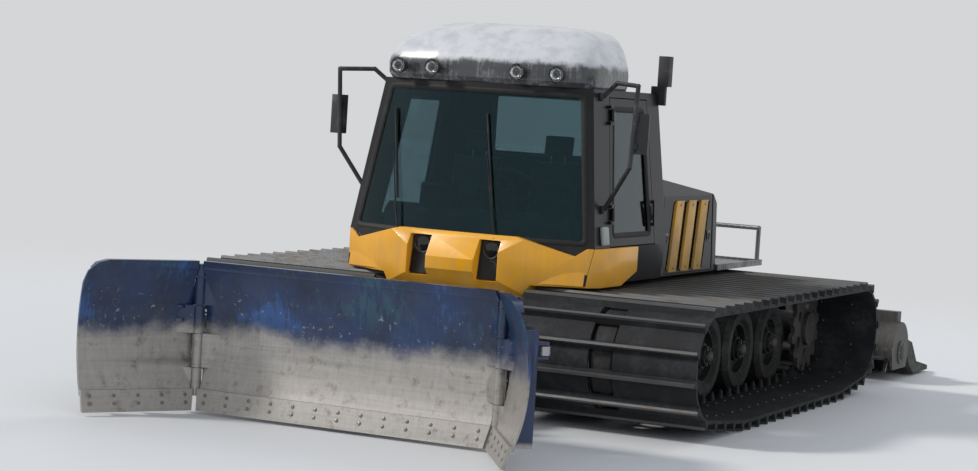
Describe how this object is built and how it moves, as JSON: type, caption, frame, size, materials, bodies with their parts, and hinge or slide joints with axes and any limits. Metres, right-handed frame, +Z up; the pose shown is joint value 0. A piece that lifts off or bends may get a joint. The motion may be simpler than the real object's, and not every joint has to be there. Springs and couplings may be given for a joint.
{
  "type": "snow groomer",
  "caption": "Tracked snow groomer with a glazed cab, a hinged front blade with folding wings, louvred engine covers, a load deck and a rear tiller.",
  "frame": {"origin": "Centre of the overall box, on the ground under the tracks.", "axes": "+X is the machine's left side, -Y is the front with the blade, +Z is up."},
  "size_m": [4.2, 8.6972, 2.91],
  "materials": {
    "body_yellow": "gloss coat, dusty, with small chips",
    "cab_black": "satin black paint",
    "chassis_black": "satin black paint, worn at edges",
    "roof_grey": "moulded fairing, light grey",
    "window_glass": "dark tinted",
    "trim_plastic": "grained black plastic",
    "seat_fabric": "dark woven cover",
    "tyre_rubber": "matt",
    "track_rubber": "matt belts with worn bars",
    "engine_iron": "cast, oily",
    "deck_aluminium": "dull, scratched",
    "blade_blue": "blue paint, scoured to bare steel on the lower front",
    "rod_chrome": "polished",
    "tooth_steel": "worn bright at the tips",
    "mat_rubber": "flexible moulding, matt"
  },
  "bodies": {
    "carrier": {"chassis": "chassis_black", "axles": "chassis_black", "wheels_left": "tyre_rubber", "wheels_right": "tyre_rubber", "sprockets_left": "chassis_black", "sprockets_right": "chassis_black", "track_left": "track_rubber", "track_right": "track_rubber", "cab_shell": "cab_black", "cab_roof": "roof_grey", "nose": "body_yellow", "cab_glass": "window_glass", "dashboard": "trim_plastic", "seats": "seat_fabric", "roof_lamps": "trim_plastic", "mirrors": "trim_plastic", "engine_block": "engine_iron", "engine_cover": "cab_black", "platform": "deck_aluminium"},
    "steering_wheel": {"steering_wheel": "trim_plastic"},
    "door_left": {"door_left": "cab_black", "door_glass_left": "window_glass"},
    "door_right": {"door_right": "cab_black", "door_glass_right": "window_glass"},
    "flap_left": {"flap_left": "cab_black", "slats_left": "body_yellow"},
    "flap_right": {"flap_right": "cab_black", "slats_right": "body_yellow"},
    "push_frame": {"push_frame": "chassis_black"},
    "swing_head": {"swing_head": "chassis_black"},
    "blade": {"blade": "blade_blue"},
    "wing_left": {"wing_left": "blade_blue"},
    "wing_right": {"wing_right": "blade_blue"},
    "lift_barrels": {"lift_barrels": "chassis_black"},
    "lift_rods": {"lift_rods": "rod_chrome"},
    "angle_barrel_left": {"angle_barrel_left": "chassis_black"},
    "angle_rod_left": {"angle_rod_left": "rod_chrome"},
    "angle_barrel_right": {"angle_barrel_right": "chassis_black"},
    "angle_rod_right": {"angle_rod_right": "rod_chrome"},
    "tilt_barrel": {"tilt_barrel": "chassis_black"},
    "tilt_rod": {"tilt_rod": "rod_chrome"},
    "wing_barrel_left": {"wing_barrel_left": "chassis_black"},
    "wing_rod_left": {"wing_rod_left": "rod_chrome"},
    "wing_barrel_right": {"wing_barrel_right": "chassis_black"},
    "wing_rod_right": {"wing_rod_right": "rod_chrome"},
    "rear_frame": {"rear_frame": "chassis_black"},
    "tiller": {"tiller": "chassis_black", "finisher": "mat_rubber"},
    "rotor_left": {"rotor_left": "tooth_steel"},
    "rotor_right": {"rotor_right": "tooth_steel"},
    "rear_barrels": {"rear_barrels": "chassis_black"},
    "rear_rods": {"rear_rods": "rod_chrome"}
  },
  "joints": [
    {"name": "blade_lift", "type": "hinge", "parent": "carrier", "child": "push_frame", "pos_m": [0, -1.88135, 0.4], "axis": [-1, 0, 0], "range_deg": [-8, 30]},
    {"name": "lift_barrel_turn", "type": "hinge", "parent": "carrier", "child": "lift_barrels", "pos_m": [0, -1.86135, 0.7], "axis": [-1, 0, 0], "range_deg": [-8.76, 32.03]},
    {"name": "lift_rod_slide", "type": "slide", "parent": "lift_barrels", "child": "lift_rods", "axis": [0, -1, 0], "range_m": [-0.153, 0.0415]},
    {"name": "blade_turn", "type": "hinge", "parent": "push_frame", "child": "swing_head", "pos_m": [0, -2.90135, 0.5], "axis": [0, 0, 1], "range_deg": [-20, 20]},
    {"name": "angle_left_barrel_turn", "type": "hinge", "parent": "push_frame", "child": "angle_barrel_left", "pos_m": [0.43, -2.23135, 0.48], "axis": [0, 0, 1], "range_deg": [-1.9, 1.9]},
    {"name": "angle_left_rod_slide", "type": "slide", "parent": "angle_barrel_left", "child": "angle_rod_left", "axis": [0, -1, 0], "range_m": [-0.147, 0.147]},
    {"name": "angle_right_barrel_turn", "type": "hinge", "parent": "push_frame", "child": "angle_barrel_right", "pos_m": [-0.43, -2.23135, 0.48], "axis": [0, 0, 1], "range_deg": [-1.9, 1.9]},
    {"name": "angle_right_rod_slide", "type": "slide", "parent": "angle_barrel_right", "child": "angle_rod_right", "axis": [0, -1, 0], "range_m": [-0.147, 0.147]},
    {"name": "blade_tilt", "type": "hinge", "parent": "swing_head", "child": "blade", "pos_m": [0, -3.22135, 0.52], "axis": [0, -1, 0], "range_deg": [-8, 8]},
    {"name": "tilt_barrel_turn", "type": "hinge", "parent": "swing_head", "child": "tilt_barrel", "pos_m": [-0.4, -3.16335, 0.69], "axis": [0, -1, 0], "range_deg": [-3.51, 3.51]},
    {"name": "tilt_rod_slide", "type": "slide", "parent": "tilt_barrel", "child": "tilt_rod", "axis": [0.9648, 0, 0.2631], "range_m": [-0.0386, 0.0386]},
    {"name": "wing_left_fold", "type": "hinge", "parent": "blade", "child": "wing_left", "pos_m": [1.175, -3.55976, 0.6], "axis": [0, 0, 1], "range_deg": [0, 78]},
    {"name": "wing_left_barrel_turn", "type": "hinge", "parent": "blade", "child": "wing_barrel_left", "pos_m": [0.655, -3.36976, 0.7], "axis": [0, 0, 1], "range_deg": [-0.3, 18.86]},
    {"name": "wing_left_rod_slide", "type": "slide", "parent": "wing_barrel_left", "child": "wing_rod_left", "axis": [0.9912, -0.1323, 0], "range_m": [-0.2707, 0.001]},
    {"name": "wing_right_fold", "type": "hinge", "parent": "blade", "child": "wing_right", "pos_m": [-1.175, -3.55976, 0.6], "axis": [0, 0, -1], "range_deg": [0, 78]},
    {"name": "wing_right_barrel_turn", "type": "hinge", "parent": "blade", "child": "wing_barrel_right", "pos_m": [-0.655, -3.36976, 0.7], "axis": [0, 0, -1], "range_deg": [-0.3, 18.86]},
    {"name": "wing_right_rod_slide", "type": "slide", "parent": "wing_barrel_right", "child": "wing_rod_right", "axis": [-0.9912, -0.1323, 0], "range_m": [-0.2707, 0.001]},
    {"name": "door_left_swing", "type": "hinge", "parent": "carrier", "child": "door_left", "pos_m": [1.0095, -1.33712, 1.48], "axis": [0.13, -0.1421, -0.9813], "range_deg": [0, 70]},
    {"name": "door_right_swing", "type": "hinge", "parent": "carrier", "child": "door_right", "pos_m": [-1.0095, -1.33712, 1.48], "axis": [0.13, 0.1421, 0.9813], "range_deg": [0, 70]},
    {"name": "steering_turn", "type": "hinge", "parent": "carrier", "child": "steering_wheel", "pos_m": [0.15, -1.30135, 1.66], "axis": [0, 0.6644, 0.7474], "range_deg": [-120, 120]},
    {"name": "flap_left_lift", "type": "hinge", "parent": "carrier", "child": "flap_left", "pos_m": [0.266, 0.09865, 1.78147], "axis": [0, -0.9926, 0.1212], "range_deg": [0, 60]},
    {"name": "flap_right_lift", "type": "hinge", "parent": "carrier", "child": "flap_right", "pos_m": [-0.266, 0.09865, 1.78147], "axis": [0, 0.9926, -0.1212], "range_deg": [0, 60]},
    {"name": "tiller_lift", "type": "hinge", "parent": "carrier", "child": "rear_frame", "pos_m": [0, 2.32865, 0.48], "axis": [1, 0, 0], "range_deg": [-5, 28]},
    {"name": "rear_barrel_turn", "type": "hinge", "parent": "carrier", "child": "rear_barrels", "pos_m": [0, 2.31365, 0.925], "axis": [1, 0, 0], "range_deg": [-4.3, 22.68]},
    {"name": "rear_rod_slide", "type": "slide", "parent": "rear_barrels", "child": "rear_rods", "axis": [0, 0.9312, -0.3644], "range_m": [-0.2105, 0.0384]},
    {"name": "tiller_swing", "type": "hinge", "parent": "rear_frame", "child": "tiller", "pos_m": [0, 2.95865, 0.61], "axis": [0, 0, 1], "range_deg": [-8, 8]},
    {"name": "rotor_left_spin", "type": "hinge", "parent": "tiller", "child": "rotor_left", "pos_m": [1, 3.27865, 0.262], "axis": [1, 0, 0], "continuous": true},
    {"name": "rotor_right_spin", "type": "hinge", "parent": "tiller", "child": "rotor_right", "pos_m": [-1, 3.27865, 0.262], "axis": [1, 0, 0], "continuous": true}
  ],
  "couplings": [
    {"joint": "lift_barrel_turn", "follows": "blade_lift", "ratio": 1.0577},
    {"joint": "lift_rod_slide", "follows": "blade_lift", "m_per_rad": -0.29039},
    {"joint": "angle_left_barrel_turn", "follows": "blade_turn", "ratio": 0.08},
    {"joint": "angle_left_rod_slide", "follows": "blade_turn", "m_per_rad": -0.41816},
    {"joint": "angle_right_barrel_turn", "follows": "blade_turn", "ratio": 0.08},
    {"joint": "angle_right_rod_slide", "follows": "blade_turn", "m_per_rad": 0.41816},
    {"joint": "tilt_barrel_turn", "follows": "blade_tilt", "ratio": 0.4012},
    {"joint": "tilt_rod_slide", "follows": "blade_tilt", "m_per_rad": -0.2691},
    {"joint": "wing_left_barrel_turn", "follows": "wing_left_fold", "ratio": 0.238},
    {"joint": "wing_left_rod_slide", "follows": "wing_left_fold", "m_per_rad": -0.19813},
    {"joint": "wing_right_barrel_turn", "follows": "wing_right_fold", "ratio": 0.238},
    {"joint": "wing_right_rod_slide", "follows": "wing_right_fold", "m_per_rad": -0.19813},
    {"joint": "rear_barrel_turn", "follows": "tiller_lift", "ratio": 0.7993},
    {"joint": "rear_rod_slide", "follows": "tiller_lift", "m_per_rad": -0.42878}
  ]
}
